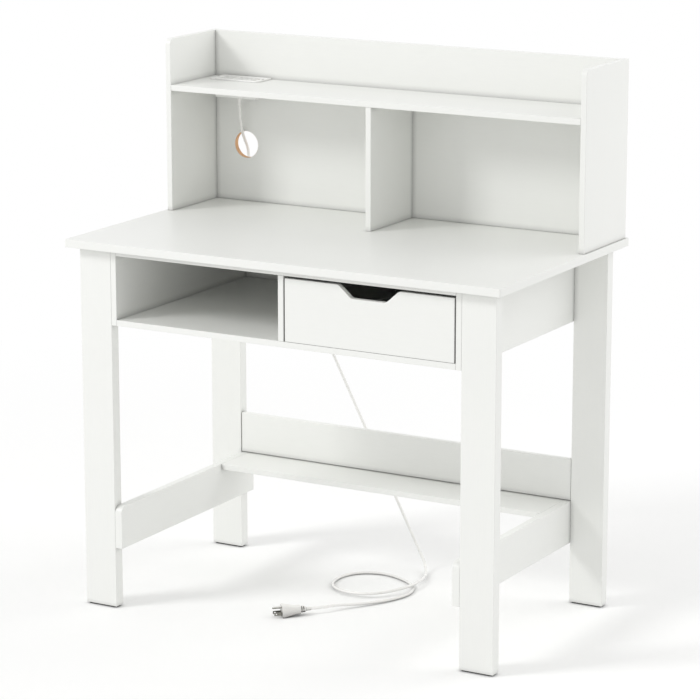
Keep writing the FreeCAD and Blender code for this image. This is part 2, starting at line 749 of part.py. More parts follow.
def make_socket(x):
    """One three-pin socket insert, with two slots and a round earth hole."""
    bottom = bezel_face - socket_depth
    body = plate(socket_outline(x, 0), "xy", bottom, bezel_face)
    half_slot = blade_thickness / 2 + slot_side_clearance
    half_slot_length = blade_height / 2 + slot_end_clearance
    slot_y = outlet_y + blade_drop
    floor = bottom + socket_floor
    for direction in (-1, 1):
        slot_x = x + direction * blade_pitch / 2
        body = body.cut(box(slot_x - half_slot, slot_x + half_slot, slot_y - half_slot_length,
                            slot_y + half_slot_length, floor, bezel_face))
    earth = Part.makeCylinder(pin_radius + earth_clearance, bezel_face - floor,
                              Vector(x, slot_y - pin_rise, floor), z_axis)
    return body.cut(earth)


# ---------------------------------------------------------------- cord and plug
def cord_path(points):
    """A wire of straight runs joined by tangent arcs through the route's points."""
    points = [Vector(*point) for point in points]
    edges = []
    start = points[0]
    for before, here, after in zip(points, points[1:], points[2:]):
        back = before - here
        ahead = after - here
        shorter = min(back.Length, ahead.Length)
        half_turn = (math.pi - back.getAngle(ahead)) / 2
        back.normalize()
        ahead.normalize()
        tangent = cord_bend_share * shorter
        radius = tangent / math.tan(half_turn)
        entry = here + back * tangent
        leave = here + ahead * tangent
        inwards = (back + ahead).normalize()
        middle = here + inwards * (radius / math.cos(half_turn) - radius)
        edges.append(Part.LineSegment(start, entry).toShape())
        edges.append(Part.Arc(entry, middle, leave).toShape())
        print(f"cord arc radius {radius:.1f} turn {math.degrees(2 * half_turn):.1f}")
        start = leave
    edges.append(Part.LineSegment(start, points[-1]).toShape())
    return Part.Wire(edges)


def make_cord():
    exit_point = Vector(*gland_tip)
    gland = Part.makeCone(gland_tip_radius, gland_radius, gland_length, exit_point, z_axis)
    flange_base = exit_point + z_axis * gland_length
    flange = Part.makeCylinder(gland_flange_radius, housing_wall, flange_base, z_axis)
    pieces["outlet_housing"] = pieces["outlet_housing"].cut(flange)
    pieces["cord_gland"] = gland.fuse(flange).removeSplitter()

    path = cord_path(cord_points)
    section = Part.Wire(Part.Circle(exit_point, z_axis * -1, cord_radius).toShape())
    tube = path.makePipeShell([section], True, False)
    expected = math.pi * cord_radius ** 2 * path.Length
    print(f"cord length {path.Length:.0f} volume ratio {tube.Volume / expected:.4f}")
    pieces["cord"] = tube


def make_plug():
    start = Vector(*cord_points[-1])
    origin = Vector(0, 0, 0)
    relief = Part.makeCone(relief_tip_radius, relief_root_radius, relief_length, origin, x_axis)
    for distance in relief_groove_places:
        base = x_axis * distance
        ring = Part.makeCylinder(relief_root_radius, relief_groove, base, x_axis)
        core = Part.makeCylinder(relief_tip_radius, relief_groove, base, x_axis)
        relief = relief.cut(ring.cut(core))

    def section(width, height):
        return rectangle(-width / 2, width / 2, -height / 2, height / 2, plug_round)

    taper_end = relief_length + plug_taper_length
    face_x = relief_length + plug_length
    neck = section(plug_neck_width, plug_neck_height)
    full = section(plug_width, plug_height)
    taper = Part.makeLoft([flat_face(neck, "yz", relief_length).OuterWire,
                           flat_face(full, "yz", taper_end).OuterWire], True, True)
    moulding = taper.fuse([plate(full, "yz", taper_end, face_x), relief])
    blades = [box(face_x, face_x + blade_length, side - blade_thickness / 2,
                  side + blade_thickness / 2, -blade_drop - blade_height / 2,
                  -blade_drop + blade_height / 2)
              for side in (-blade_pitch / 2, blade_pitch / 2)]
    pin_base = Vector(face_x, 0, pin_rise - blade_drop)
    pin = Part.makeCylinder(pin_radius, pin_length - pin_radius, pin_base, x_axis)
    tip = Part.makeSphere(pin_radius, pin_base + x_axis * (pin_length - pin_radius))
    pieces["plug_body"] = turn_to_plug(moulding.removeSplitter(), start)
    pieces["plug_blades"] = Part.makeCompound([turn_to_plug(blade, start) for blade in blades])
    pieces["plug_pin"] = turn_to_plug(pin.fuse(tip).removeSplitter(), start)


def main():
    make_desk()
    make_case()
    make_lower_frame()
    make_hutch()
    make_drawer()
    make_runner_pair("left", bay_left_x, 1)
    make_runner_pair("right", bay_right_x, -1)
    make_outlet()
    make_cord()
    make_plug()
    fix_frame()
    fix_hutch()
    fix_drawer()
    fix_runners()
    os.makedirs("parts", exist_ok=True)
    for name, shape in pieces.items():
        if not shape.isValid():
            print("not valid:", name)
        shape.exportStep(f"parts/{name}.step")
        print(name, len(shape.Solids), round(shape.Volume))


main()
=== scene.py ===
"""The looks of a white student desk: finishes, power lead, fasteners, studio and camera."""

import logging
import math
from dataclasses import dataclass, field
from enum import Enum
from functools import reduce
from typing import Callable, Iterable, List, NamedTuple, Optional, Sequence, Tuple, Union

import bpy
from mathutils import Matrix, Vector


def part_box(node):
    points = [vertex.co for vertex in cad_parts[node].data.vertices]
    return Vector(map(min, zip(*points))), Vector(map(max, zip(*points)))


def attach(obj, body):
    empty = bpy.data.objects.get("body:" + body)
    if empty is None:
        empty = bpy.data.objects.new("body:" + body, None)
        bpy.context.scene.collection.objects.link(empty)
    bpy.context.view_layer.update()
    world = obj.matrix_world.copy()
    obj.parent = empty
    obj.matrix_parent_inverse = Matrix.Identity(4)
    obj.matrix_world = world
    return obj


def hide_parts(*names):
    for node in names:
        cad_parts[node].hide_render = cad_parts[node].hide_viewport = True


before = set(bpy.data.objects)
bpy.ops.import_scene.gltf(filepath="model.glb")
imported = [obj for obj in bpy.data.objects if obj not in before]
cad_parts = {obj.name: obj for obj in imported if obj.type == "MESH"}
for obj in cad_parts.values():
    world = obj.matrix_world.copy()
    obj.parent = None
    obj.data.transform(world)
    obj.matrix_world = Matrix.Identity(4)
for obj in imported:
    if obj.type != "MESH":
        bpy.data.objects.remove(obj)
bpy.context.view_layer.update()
log = logging.getLogger("desk")

Colour = Tuple[float, float, float]
Point = Tuple[float, float, float]
Span = Tuple[float, float]
Piece = bpy.types.Object
Material = bpy.types.Material
Socket = bpy.types.NodeSocket

MM = 0.001
BLACK: Colour = (0.0, 0.0, 0.0)
WHITE: Colour = (1.0, 1.0, 1.0)


# ------------------------------------------------------------------ shader maths
class Value:
    """A number that changes over a surface, with Python's operators."""

    def __init__(self, shader: "Nodes", socket: Socket) -> None:
        """Wrap an output socket of a node tree."""
        self.shader = shader
        self.socket = socket

    def math(self, operation: str, *others: "Operand") -> "Value":
        """Add a Math node of an operation on this value and others."""
        inputs = dict(enumerate((self,) + others))
        return self.shader.value("ShaderNodeMath", {"operation": operation}, inputs)

    def __add__(self, other: "Operand") -> "Value":
        """This value plus another."""
        return self.math("ADD", other)

    __radd__ = __add__

    def __mul__(self, other: "Operand") -> "Value":
        """This value times another."""
        return self.math("MULTIPLY", other)

    __rmul__ = __mul__

    def __sub__(self, other: "Operand") -> "Value":
        """This value less another."""
        return self.math("SUBTRACT", other)

    def __rsub__(self, other: float) -> "Value":
        """A number less this value."""
        return self * -1.0 + other

    def __truediv__(self, other: "Operand") -> "Value":
        """This value divided by another."""
        return self.math("DIVIDE", other)

    def __abs__(self) -> "Value":
        """This value without its sign."""
        return self.math("ABSOLUTE")

    def highest(self, other: "Operand") -> "Value":
        """The higher of this value and another."""
        return self.math("MAXIMUM", other)

    def hypotenuse(self, other: "Value") -> "Value":
        """How far this value and another reach together at right angles."""
        return (self * self + other * other).math("SQRT")

    def swing(self, width: float) -> "Value":
        """This value from 0 to 1 as a swing about 0, of a width in all."""
        return (self - 0.5) * width

    def step(self, low: float, high: float) -> "Value":
        """Turn this value into a smooth step.

        Args:
            low: Where the step is at 0.
            high: Where it is at 1, which may be below low.

        Returns:
            The step, from 0 to 1.
        """
        if low > high:
            return 1.0 - self.step(high, low)
        settings = {"interpolation_type": "SMOOTHSTEP"}
        return self.shader.value("ShaderNodeMapRange", settings, {0: self, 1: low, 2: high})


Operand = Union[Value, float]
Paint = Union[Colour, Socket]


class Nodes:
    """A node tree, written as expressions."""

    def __init__(self, owner: Union[Material, bpy.types.World]) -> None:
        """Take over the tree of a material or a world.

        Args:
            owner: What the tree belongs to. Its tree is cleared.
        """
        owner.use_nodes = True
        self.tree = owner.node_tree
        self.tree.nodes.clear()

    def node(self, kind: str, settings: dict, inputs: dict) -> bpy.types.Node:
        """Add a node.

        Args:
            kind: The node's type.
            settings: Its own settings, which are set first.
            inputs: Values, colours or links of its sockets, by name or number.

        Returns:
            The new node.
        """
        node = self.tree.nodes.new(kind)
        for name, setting in settings.items():
            setattr(node, name, setting)
        for name, given in inputs.items():
            if isinstance(given, Value):
                given = given.socket
            if isinstance(given, Socket):
                self.tree.links.new(given, node.inputs[name])
            else:
                node.inputs[name].default_value = given
        return node

    def value(self, kind: str, settings: dict, inputs: dict) -> Value:
        """Add a node and return its first output as a value."""
        return Value(self, self.node(kind, settings, inputs).outputs[0])

    def surface(self, kind: str, **inputs: Union[float, tuple, Socket]) -> Socket:
        """Add a shader with its inputs by name and return its output."""
        return self.node(kind, {}, inputs).outputs[0]

    def blended(self, share: Operand, first: Socket, second: Socket) -> Socket:
        """Blend two shaders by a share from 0 to 1."""
        return self.node("ShaderNodeMixShader", {}, {0: share, 1: first, 2: second}).outputs[0]

    def seen(self) -> Value:
        """Tell what is looked at from what only lights other things.

        Returns:
            1 where a place is seen directly, in a reflection or through glass, else 0.
        """
        rays = self.node("ShaderNodeLightPath", {}, {}).outputs
        kinds = ("Camera", "Glossy", "Transmission")
        return reduce(Value.highest, [Value(self, rays[f"Is {kind} Ray"]) for kind in kinds])


@dataclass(frozen=True)
class Clouds:
    """A cloudy pattern.

    Attributes:
        per_metre: Clouds per metre.
        layers: How many finer layers lie over the first.
        rough: How strong the finer layers are.
        squeeze: How many times closer the clouds lie along each axis.
    """

    per_metre: float
    layers: float = 2.0
    rough: float = 0.5
    squeeze: Optional[Point] = None


class Shader(Nodes):
    """The nodes of one material, with the place on the piece."""

    def __init__(self, name: str) -> None:
        """Start an empty material.

        Args:
            name: The material's name.
        """
        self.material = bpy.data.materials.new(name)
        super().__init__(self.material)
        self.place = self.node("ShaderNodeTexCoord", {}, {}).outputs["Object"]
        axes = self.node("ShaderNodeSeparateXYZ", {}, {0: self.place}).outputs
        self.x, self.y, self.z = (Value(self, axis) for axis in axes)

    def noise(self, clouds: Clouds, squeeze: Optional[Point] = None) -> Value:
        """Lay a cloudy pattern over the piece.

        Args:
            clouds: The pattern.
            squeeze: Its squeeze along each axis, if not the pattern's own.

        Returns:
            The pattern at each place, from 0 to 1.
        """
        place = self.place
        squeeze = squeeze or clouds.squeeze
        if squeeze:
            inputs = {"Vector": place, "Scale": squeeze}
            place = self.node("ShaderNodeMapping", {}, inputs).outputs[0]
        return self.value("ShaderNodeTexNoise", {}, {
            "Vector": place, "Scale": clouds.per_metre, "Detail": clouds.layers,
            "Roughness": clouds.rough})

    def mix(self, share: Operand, first: Paint, second: Paint) -> Socket:
        """Blend two colours.

        Args:
            share: The share of the second colour, from 0 to 1.
            first: The first colour.
            second: The second colour.

        Returns:
            The blended colour.
        """
        node = self.node("ShaderNodeMix", {"data_type": "RGBA"}, {"Factor": share})
        for name, paint in (("A", first), ("B", second)):
            socket = next(s for s in node.inputs if s.name == name and s.type == "RGBA")
            if isinstance(paint, Socket):
                self.tree.links.new(paint, socket)
            else:
                socket.default_value = (*paint, 1.0)
        return next(s for s in node.outputs if s.type == "RGBA")

    def paint_corner_shade(self, colour: Paint, reach: float, share: float, rays: int = 5
                 ) -> Tuple[Socket, Value]:
        """Paint shade into a colour in corners and slits, where less light reaches.

        Args:
            colour: The colour in the open.
            reach: How far off a neighbour still counts.
            share: How much of the colour a closed slit takes away.
            rays: How many rays look for neighbours.

        Returns:
            The darkened colour, and how dark it is at each place, from 0 to the share.
        """
        settings = {"samples": rays}
        # painted shade: ambient occlusion darkens the colour where neighbours are near
        node = self.node("ShaderNodeAmbientOcclusion", settings, {"Distance": reach})
        dark = (1.0 - Value(self, node.outputs["AO"])) * share
        return self.mix(dark, colour, BLACK), dark

    def relief(self, height: Value, depth: float) -> Socket:
        """A bump of a height from 0 to 1, which is so many metres deep."""
        inputs = {"Height": height, "Strength": 1.0, "Distance": depth}
        return self.node("ShaderNodeBump", {}, inputs).outputs["Normal"]

    def finish(self, **sockets: Union[Operand, Colour, Socket]) -> Material:
        """Close the tree with a surface shader.

        Args:
            sockets: Its inputs by name, with _ for a space.

        Returns:
            The finished material.
        """
        inputs = {}
        for name, given in sockets.items():
            plain_colour = isinstance(given, tuple)
            inputs[name.replace("_", " ")] = (*given, 1.0) if plain_colour else given
        return self.close(self.node("ShaderNodeBsdfPrincipled", {}, inputs).outputs[0])

    def close(self, surface: Socket) -> Material:
        """Close the tree with a shader of its own and return the material."""
        self.node("ShaderNodeOutputMaterial", {}, {"Surface": surface})
        return self.material


def darker(colour: Colour, share: float) -> Colour:
    """A colour with a share of it taken away."""
    return tuple(channel * (1.0 - share) for channel in colour)


# ------------------------------------------------------------------ finishes
class Run(Enum):
    """The way in which a board is long, as the squeeze of its sanding marks."""

    ACROSS = (3.0, 60.0, 60.0)
    DEEP = (60.0, 3.0, 60.0)
    UPRIGHT = (60.0, 60.0, 3.0)


class Coat(NamedTuple):
    """A finish that is begun: its shader and what changes over the surface."""

    shader: Shader
    colour: Socket
    roughness: Value
    height: Value


@dataclass(frozen=True)
class Finish:
    """A finish of some pieces, which makes the material of its name."""

    name: str

    def material(self) -> Material:
        """Make the material."""
        raise NotImplementedError(self.name)


@dataclass(frozen=True)
class Lacquer(Finish):
    """Satin white lacquer on fibreboard: orange peel over sanding marks, painted shade in
    corners.
    """

    run: Run
    colour: Colour = (0.905, 0.911, 0.884)
    roughness: float = 0.34
    gloss: float = 0.35
    marks: Clouds = Clouds(9.0, 4.0, 0.6)
    patches: Clouds = Clouds(5.0, 3.0)
    peel: Clouds = Clouds(620.0)
    marks_in_colour: float = 0.55
    marks_in_height: float = 0.25
    mottle: float = 0.018
    mottle_span: Span = (0.3, 0.7)
    patch_roughness: float = 0.1
    depth: float = 0.018 * MM
    # painted shade in the corners: how far it reaches and how dark it gets
    corner_reach: float = 12.0 * MM
    corner_shade: float = 0.5
    dust_roughness: float = 0.4

    def coat(self) -> Coat:
        """Lay the lacquer on.

        Returns:
            The finish before its tree is closed.
        """
        shader = Shader(self.name)
        marks = shader.noise(self.marks, self.run.value)
        patches = shader.noise(self.patches)
        peel = shader.noise(self.peel)
        share = marks * self.marks_in_colour + patches * (1.0 - self.marks_in_colour)
        mottled = shader.mix(share.step(*self.mottle_span), self.colour,
                             darker(self.colour, self.mottle))
        # painted shade where boards meet, which also makes the corners rougher
        colour, painted_shade = shader.paint_corner_shade(mottled, self.corner_reach, self.corner_shade)
        roughness = (self.roughness + patches.swing(self.patch_roughness)
                     + painted_shade * self.dust_roughness)
        height = peel * (1.0 - self.marks_in_height) + marks * self.marks_in_height
        return Coat(shader, colour, roughness, height)

    def material(self) -> Material:
        """Make the material.

        Returns:
            The finished material.
        """
        shader, colour, roughness, height = self.coat()
        return shader.finish(Base_Color=colour, Roughness=roughness,
                             Specular_IOR_Level=self.gloss,
                             Normal=shader.relief(height, self.depth))


@dataclass(frozen=True)
class HoledLacquer(Lacquer):
    """The same lacquer, with raw fibreboard in the wall of a hole through Y."""

    hole_x: float = -387.0 * MM
    hole_z: float = 869.0 * MM
    hole_radius: float = 28.0 * MM
    raw: Colour = (0.82, 0.52, 0.3)
    raw_dark: Colour = (0.58, 0.33, 0.165)
    fibres: Clouds = Clouds(700.0, 4.0, 0.7, (1.0, 3.0, 1.0))
    fibre_span: Span = (0.3, 0.7)
    ragged: float = 0.5 * MM
    bare_to: float = 0.1 * MM
    lacquer_from: float = 0.35 * MM
    raw_roughness: float = 0.4
    raw_relief: float = 4.0

    def material(self) -> Material:
        """Make the material.

        Returns:
            The finished material.
        """
        shader, colour, roughness, height = self.coat()
        fibres = shader.noise(self.fibres)
        from_middle = (shader.x - self.hole_x).hypotenuse(shader.z - self.hole_z)
        bare = (from_middle + fibres.swing(self.ragged)).step(
            self.hole_radius + self.lacquer_from, self.hole_radius + self.bare_to)
        raw = shader.mix(fibres.step(*self.fibre_span), self.raw_dark, self.raw)
        height = height + bare * (fibres * self.raw_relief)
        return shader.finish(Base_Color=shader.mix(bare, colour, raw),
                             Roughness=roughness + bare * self.raw_roughness,
                             Specular_IOR_Level=self.gloss,
                             Normal=shader.relief(height, self.depth))


@dataclass(frozen=True)
class Foil(Finish):
    """White paper foil on the drawer's boards, with short pores along the board."""

    run: Run
    colour: Colour = (0.9, 0.905, 0.88)
    roughness: float = 0.5
    gloss: float = 0.3
    pores: Clouds = Clouds(55.0, 5.0, 0.7)
    patches: Clouds = Clouds(8.0, 3.0)
    pore_shade: float = 0.05
    shade_span: Span = (0.35, 0.65)
    patch_roughness: float = 0.15
    pore_span: Span = (0.2, 0.6)
    pore_depth: float = 0.03 * MM

    def material(self) -> Material:
        """Make the material.

        Returns:
            The finished material.
        """
        shader = Shader(self.name)
        pores = shader.noise(self.pores, self.run.value)
        patches = shader.noise(self.patches)
        colour = shader.mix(pores.step(*self.shade_span), darker(self.colour, self.pore_shade),
                            self.colour)
        return shader.finish(Base_Color=colour, Specular_IOR_Level=self.gloss,
                             Roughness=self.roughness + patches.swing(self.patch_roughness),
                             Normal=shader.relief(pores.step(*self.pore_span), self.pore_depth))


@dataclass(frozen=True)
class Beech(Finish):
    """Plain beech of the dowels, with fine rays and flutes along the wood."""

    light: Colour = (0.62, 0.42, 0.24)
    dark: Colour = (0.42, 0.25, 0.12)
    roughness: float = 0.6
    grain: Clouds = Clouds(160.0, 5.0, 0.65, (0.4, 3.0, 3.0))
    flecks: Clouds = Clouds(1400.0, squeeze=(0.3, 1.0, 1.0))
    grain_share: float = 0.7
    colour_span: Span = (0.3, 0.7)
    grain_roughness: float = 0.2
    depth: float = 0.08 * MM

    def material(self) -> Material:
        """Make the material.

        Returns:
            The finished material.
        """
        shader = Shader(self.name)
        grain = shader.noise(self.grain)
        flecks = shader.noise(self.flecks)
        share = grain * self.grain_share + flecks * (1.0 - self.grain_share)
        return shader.finish(
            Base_Color=shader.mix(share.step(*self.colour_span), self.dark, self.light),
            Roughness=self.roughness + grain.swing(self.grain_roughness),
            Normal=shader.relief(share, self.depth))


@dataclass(frozen=True)
class Moulding(Finish):
    """Moulded plastic, with spark-eroded stipple, faint flow marks and painted shade near
    neighbours.
    """

    colour: Colour
    roughness: float
    stipple_per_metre: float = 1500.0
    stipple_depth: float = 0.008 * MM
    stipple_rough: float = 0.6
    flow_marks: Clouds = Clouds(38.0, 4.0, 0.55)
    flow_span: Span = (0.35, 0.7)
    flow_shade: float = 0.02
    flow_roughness: float = 0.12
    gloss: float = 0.45
    # painted shade near neighbours: how dark it gets and how far it reaches
    painted_shade: float = 0.3
    painted_shade_reach: float = 5.0 * MM
    dust_roughness: float = 0.4

    def material(self) -> Material:
        """Make the material.

        Returns:
            The finished material.
        """
        shader = Shader(self.name)
        stipple = shader.noise(Clouds(self.stipple_per_metre, rough=self.stipple_rough))
        marks = shader.noise(self.flow_marks)
        colour = shader.mix(marks.step(*self.flow_span), self.colour,
                            darker(self.colour, self.flow_shade))
        roughness = self.roughness + marks.swing(self.flow_roughness)
        # painted shade near neighbours such as the floor, which also adds roughness there
        if self.painted_shade:
            colour, painted_shade = shader.paint_corner_shade(colour, self.painted_shade_reach, self.painted_shade)
            roughness = roughness + painted_shade * self.dust_roughness
        return shader.finish(Base_Color=colour, Roughness=roughness,
                             Specular_IOR_Level=self.gloss,
                             Normal=shader.relief(stipple, self.stipple_depth))


@dataclass(frozen=True)
class PowderCoat(Finish):
    """White powder coat on the runners, polished to the steel where the rollers run."""

    colour: Colour = (0.87, 0.875, 0.86)
    steel: Colour = (0.56, 0.57, 0.58)
    roughness: float = 0.34
    peel: Clouds = Clouds(900.0)
    peel_roughness: float = 0.1
    peel_depth: float = 0.05 * MM
    tracks: Tuple[float, ...] = (607.2 * MM, 632.05 * MM)
    track_edge: Span = (0.35 * MM, 0.1 * MM)
    blotches: Clouds = Clouds(60.0, 5.0, 0.7, (8.0, 0.5, 8.0))
    scuff_span: Span = (0.52, 0.72)
    worn_roughness: float = 0.1

    def material(self) -> Material:
        """Make the material.

        Returns:
            The finished material.
        """
        shader = Shader(self.name)
        peel = shader.noise(self.peel)
        blotches = shader.noise(self.blotches)
        tracks = [abs(shader.z - level).step(*self.track_edge) for level in self.tracks]
        wear_and_highlight = reduce(Value.highest, tracks) * blotches.step(*self.scuff_span)
        return shader.finish(
            Base_Color=shader.mix(wear_and_highlight, self.colour, self.steel),
            Metallic=wear_and_highlight,
            Roughness=(self.roughness + peel.swing(self.peel_roughness)
                       + wear_and_highlight * self.worn_roughness),
            Normal=shader.relief(peel, self.peel_depth))


@dataclass(frozen=True)
class BareMetal(Finish):
    """Plated metal with fine drawn lines and faint stains."""

    colour: Colour
    tarnish: Colour
    roughness: float
    lines: Clouds = Clouds(420.0, 4.0, 0.7, (1.0, 1.0, 12.0))
    stains: Clouds = Clouds(260.0, 4.0, 0.6)
    stain_span: Span = (0.45, 0.75)
    line_roughness: float = 0.22
    stain_roughness: float = 0.12
    depth: float = 0.012 * MM

    def coat(self) -> Coat:
        """Plate the metal.

        Returns:
            The finish before its tree is closed.
        """
        shader = Shader(self.name)
        lines = shader.noise(self.lines)
        stains = shader.noise(self.stains)
        colour = shader.mix(stains.step(*self.stain_span), self.colour, self.tarnish)
        roughness = (self.roughness + lines.swing(self.line_roughness)
                     + stains.swing(self.stain_roughness))
        return Coat(shader, colour, roughness, lines)

    def material(self) -> Material:
        """Make the material.

        Returns:
            The finished material.
        """
        shader, colour, roughness, height = self.coat()
        return shader.finish(Base_Color=colour, Metallic=1.0, Roughness=roughness,
                             Normal=shader.relief(height, self.depth))


@dataclass(frozen=True)
class TopLitMetal(BareMetal):
    """Plated metal with a painted highlight along its top, above a level."""

    # the painted highlight's colour, the level where it begins and its soft edge
    bright: Colour = (0.86, 0.855, 0.83)
    level: float = 20.9 * MM
    fade: float = 1.1 * MM
    blotches: Clouds = Clouds(700.0, 3.0, 0.6)
    worn_roughness: float = 0.1

    def material(self) -> Material:
        """Make the material.

        Returns:
            The finished material.
        """
        shader, colour, roughness, height = self.coat()
        blotches = shader.noise(self.blotches)
        # painted highlight: lighter above a level, with a ragged edge
        wear_and_highlight = (shader.z + blotches.swing(self.fade)).step(self.level - self.fade,
                                                         self.level + self.fade)
        return shader.finish(Base_Color=shader.mix(wear_and_highlight, colour, self.bright), Metallic=1.0,
                             Roughness=roughness + wear_and_highlight * self.worn_roughness,
                             Normal=shader.relief(height, self.depth))


@dataclass(frozen=True)
class ContactTongue(Finish):
    """The white tongue in a charging port, with a row of gilt contacts."""

    middle_x: float = -345.0 * MM
    contacts: int = 4
    pitch: float = 2.3 * MM
    half_contact: float = 0.55 * MM
    blur: float = 0.1
    row_blur: float = 0.05
    white: Colour = (0.84, 0.84, 0.825)
    gold: Colour = (0.83, 0.6, 0.25)
    roughness: float = 0.5
    gilt_polish: float = 0.25
    grain: Clouds = Clouds(2200.0)
    grain_roughness: float = 0.1
    depth: float = 0.02 * MM

    def material(self) -> Material:
        """Make the material.

        Returns:
            The finished material.
        """
        shader = Shader(self.name)
        grain = shader.noise(self.grain)
        row = (shader.x - self.middle_x) / self.pitch
        from_contact = abs(row - row.math("FLOOR") - 0.5) * self.pitch
        half_row = self.contacts / 2
        inside = abs(row).step(half_row + self.row_blur, half_row - self.row_blur)
        gilt = from_contact.step(self.half_contact * (1.0 + self.blur),
                                 self.half_contact * (1.0 - self.blur)) * inside
        return shader.finish(
            Base_Color=shader.mix(gilt, self.white, self.gold),
            Metallic=gilt,
            Roughness=(self.roughness - gilt * self.gilt_polish
                       + grain.swing(self.grain_roughness)),
            Normal=shader.relief(grain + gilt, self.depth))


def dress(material: Material, *nodes: str) -> None:
    """Give carried-over nodes one material in each of their slots.

    Args:
        material: Their material.
        nodes: The names of the nodes.
    """
    for node in nodes:
        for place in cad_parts[node].material_slots:
            place.material = material
        log.info("dressed %s", node)


# ------------------------------------------------------------------ modelling by hand
TOUCH = 0.01 * MM        # places nearer than this are the same
FLAT = 0.99              # a normal that follows an axis at least so well is along it

EdgeTest = Callable[[Vector, Vector], bool]
FaceTest = Callable[[Vector], bool]


def deselect() -> None:
    """Leave object mode's selection empty, from whichever mode is open."""
    if bpy.context.mode != "OBJECT":
        bpy.ops.object.mode_set(mode="OBJECT")
    bpy.ops.object.select_all(action="DESELECT")


def pick(*pieces: Piece) -> None:
    """Select some pieces alone.

    Args:
        pieces: The pieces. The first of them becomes active.
    """
    deselect()
    for piece in pieces:
        piece.select_set(True)
    bpy.context.view_layer.objects.active = pieces[0]


def clear_mesh_selection(piece: Piece) -> None:
    """Pick a piece and leave nothing in its mesh selected.

    Args:
        piece: The piece, which is left in object mode.
    """
    pick(piece)
    bpy.ops.object.mode_set(mode="EDIT")
    bpy.ops.mesh.select_all(action="DESELECT")
    bpy.ops.object.mode_set(mode="OBJECT")


def pick_faces(piece: Piece, wanted: FaceTest) -> None:
    """Open a piece in edit mode with some of its faces selected.

    Args:
        piece: The piece.
        wanted: A test of a face's normal.
    """
    clear_mesh_selection(piece)
    for face in piece.data.polygons:
        face.select = wanted(face.normal)
    bpy.ops.object.mode_set(mode="EDIT")
    bpy.ops.mesh.select_mode(type="FACE")


def pick_edges(piece: Piece, wanted: EdgeTest) -> None:
    """Open a piece in edit mode with some of its edges selected.

    Args:
        piece: The piece.
        wanted: A test of an edge's two ends.
    """
    clear_mesh_selection(piece)
    points = piece.data.vertices
    for line in piece.data.edges:
        line.select = wanted(*(points[end].co for end in line.vertices))
    bpy.ops.object.mode_set(mode="EDIT")
    bpy.ops.mesh.select_mode(type="EDGE")


def ring_at(*places: float) -> EdgeTest:
    """A test for edges that lie square to X at one of some distances along it."""
    return lambda a, b: (abs(a.x - b.x) < TOUCH
                         and min(abs(a.x - place) for place in places) < TOUCH)


def draw_out(distance: float, grow: float = 1.0, grow_up: Optional[float] = None) -> None:
    """Extrude the selected faces along X and resize their far end.

    Args:
        distance: How far they go, below 0 for -X.
        grow: How many times wider the far end is.
        grow_up: How many times taller it is, if not as much as it is wider.
    """
    move = {"value": (distance, 0.0, 0.0)}
    bpy.ops.mesh.extrude_region_move(TRANSFORM_OT_translate=move)
    taller = grow if grow_up is None else grow_up
    if (grow, taller) != (1.0, 1.0):
        bpy.ops.transform.resize(value=(1.0, grow, taller))


def ease(offset: float, segments: int) -> None:
    """Bevel the selected edges round, so far from each and in so many segments."""
    bpy.ops.mesh.bevel(offset=offset, offset_type="OFFSET", segments=segments)


def add_block(name: str, size: Point, middle: Point) -> Piece:
    """Add a block.

    Args:
        name: The piece's name.
        size: Its lengths along X, Y and Z.
        middle: The place of its middle, which goes into its mesh.

    Returns:
        The block.
    """
    deselect()
    bpy.ops.mesh.primitive_cube_add(size=1.0, location=middle)
    block = bpy.context.active_object
    block.name = name
    block.scale = size
    bpy.ops.object.transform_apply(location=True, rotation=True, scale=True)
    return block


def turned_rod(name: str, profile: Sequence[Tuple[float, float]], sides: int = 40) -> Piece:
    """Draw out a round rod along +X from a disc.

    Args:
        name: The piece's name.
        profile: (distance, radius) pairs from its first end to its last.
        sides: Points around it.

    Returns:
        The rod.
    """
    deselect()
    distance, radius = profile[0]
    bpy.ops.mesh.primitive_circle_add(vertices=sides, radius=radius, fill_type="NGON",
                                      rotation=(0.0, math.pi / 2, 0.0),
                                      location=(distance, 0.0, 0.0))
    rod = bpy.context.active_object
    rod.name = name
    bpy.ops.object.transform_apply(location=True, rotation=True, scale=True)
    bpy.ops.object.mode_set(mode="EDIT")
    bpy.ops.mesh.select_mode(type="FACE")
    bpy.ops.mesh.select_all(action="SELECT")
    for following, wider in profile[1:]:
        draw_out(following - distance, wider / radius)
        distance, radius = following, wider
    bpy.ops.mesh.select_all(action="SELECT")
    bpy.ops.mesh.normals_make_consistent(inside=False)
    bpy.ops.object.mode_set(mode="OBJECT")
    return rod


def cut(piece: Piece, cutter: Piece) -> None:
    """Cut one piece out of another.

    Args:
        piece: The piece that is cut.
        cutter: The piece that is taken out of it and thrown away.
    """
    pick(piece)
    tool = piece.modifiers.new("cut", "BOOLEAN")
    tool.operation = "DIFFERENCE"
    tool.solver = "EXACT"
    tool.object = cutter
    bpy.ops.object.modifier_apply(modifier=tool.name)
    bpy.data.objects.remove(cutter)


def join(pieces: Sequence[Piece], name: str) -> Piece:
    """Join pieces into one.

    Args:
        pieces: The pieces.
        name: The name of the whole.

    Returns:
        The whole.
    """
    pick(*pieces)
    bpy.ops.object.join()
    joined = bpy.context.active_object
    joined.name = name
    return joined


def copied(piece: Piece, matrix: Matrix) -> Piece:
    """Copy a piece with a mesh of its own.

    Args:
        piece: The piece.
        matrix: What moves the copy's mesh.

    Returns:
        The copy.
    """
    twin = piece.copy()
    twin.data = piece.data.copy()
    bpy.context.scene.collection.objects.link(twin)
    twin.data.transform(matrix)
    return twin


def smooth(piece: Piece, angle: float = 35.0) -> None:
    """Shade a piece smooth, with sharp edges over an angle in degrees."""
    pick(piece)
    bpy.ops.object.shade_smooth_by_angle(angle=math.radians(angle))


